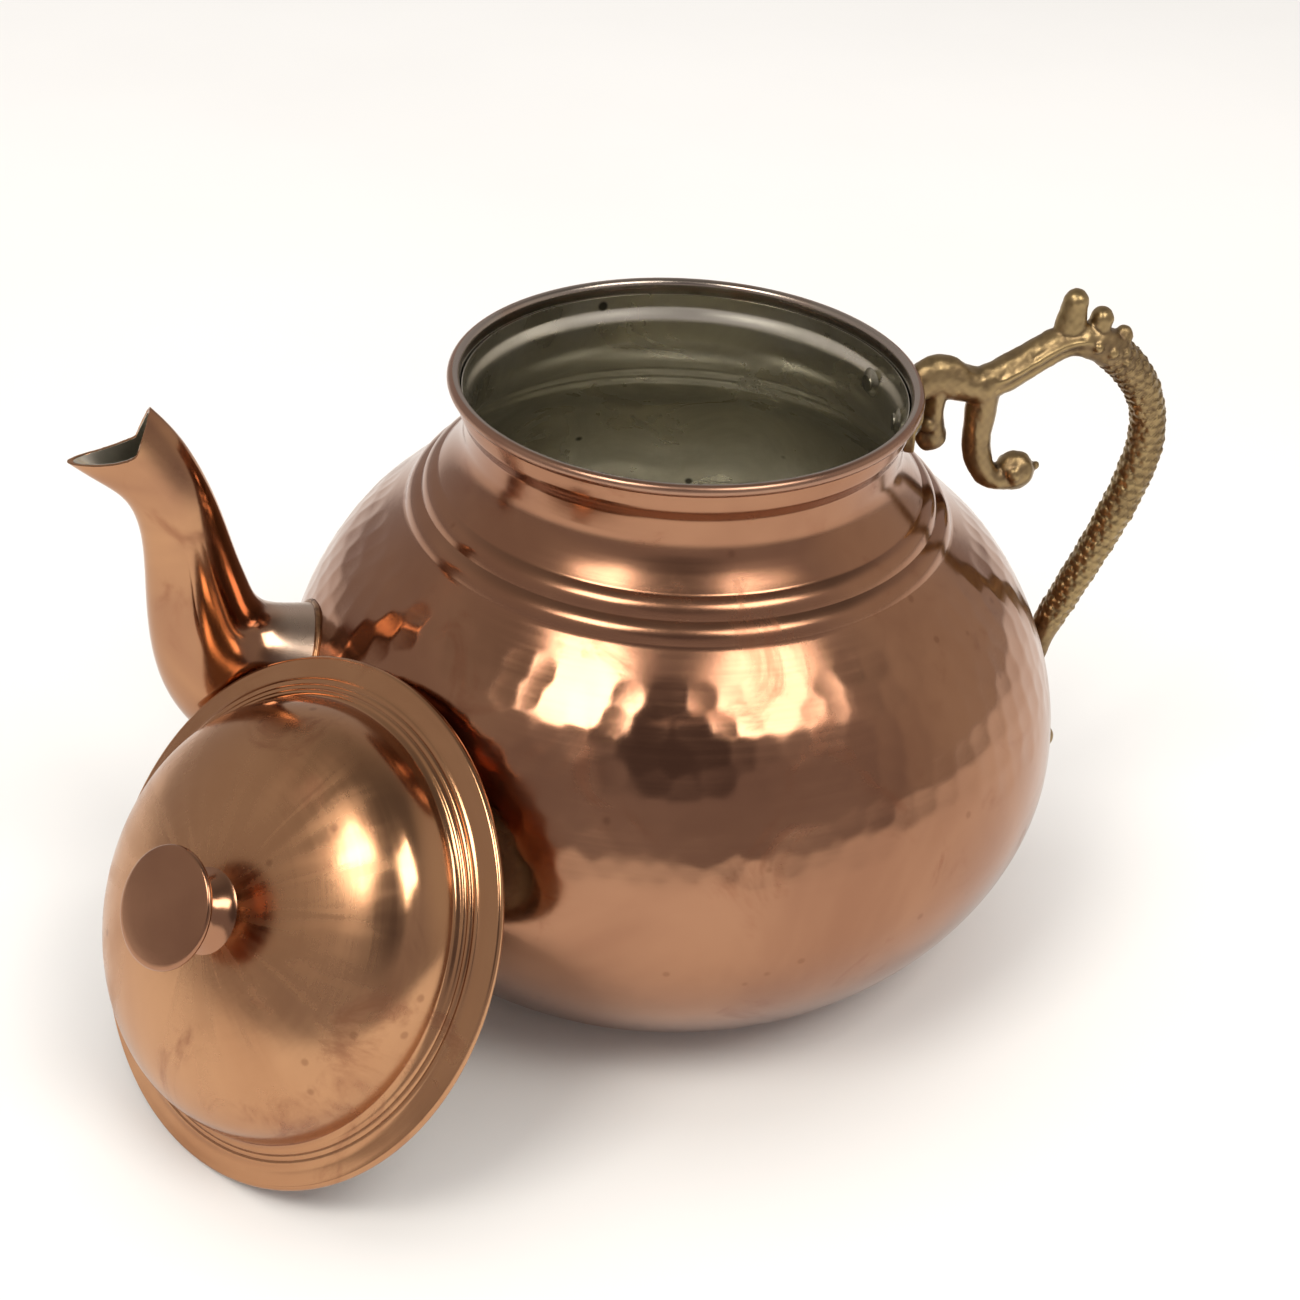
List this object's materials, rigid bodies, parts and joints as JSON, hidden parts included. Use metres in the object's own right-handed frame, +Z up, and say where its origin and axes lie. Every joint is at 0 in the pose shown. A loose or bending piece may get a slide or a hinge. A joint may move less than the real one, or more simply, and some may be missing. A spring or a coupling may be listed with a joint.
{
  "type": "teapot",
  "caption": "Squat hammered copper teapot with a tinned inside, short beaked spout, cast brass scroll handle and a loose domed lid leaning against it.",
  "frame": {"origin": "centre of the pot's flat base, on its axis", "axes": "+Z up along the pot's axis, +X towards the handle, -X towards the spout; the loose lid leans against the belly on the -Y side, beside the spout"},
  "size_m": [0.2621, 0.2109, 0.1595],
  "materials": {
    "copper": "polished copper, hammered on the belly, spun elsewhere",
    "tin": "wiped tin, grey with a dull yellow cast",
    "cast_brass": "cast brass, worn on its high spots and dull in its hollows",
    "braze": "filed braze",
    "rivet_copper": "peened copper",
    "iron_wire": "drawn iron wire, hidden in the rolled edge"
  },
  "bodies": {
    "pot": {"body_shell": "copper", "tin_lining": "tin", "rim_wire": "iron_wire", "spout": "copper", "spout_lining": "tin", "spout_braze": "braze", "handle": "cast_brass", "neck_rivets": "rivet_copper", "belly_rivet": "rivet_copper"},
    "lid": {"lid_dome": "copper", "lid_lining": "tin", "lid_sleeve": "copper", "lid_knob": "copper", "knob_washer": "rivet_copper", "knob_rivet": "rivet_copper"}
  },
  "joints": [
    {"name": "lid_lift", "type": "slide", "parent": "pot", "child": "lid", "axis": [0, 0, 1], "range_m": [0, 0.22]}
  ]
}
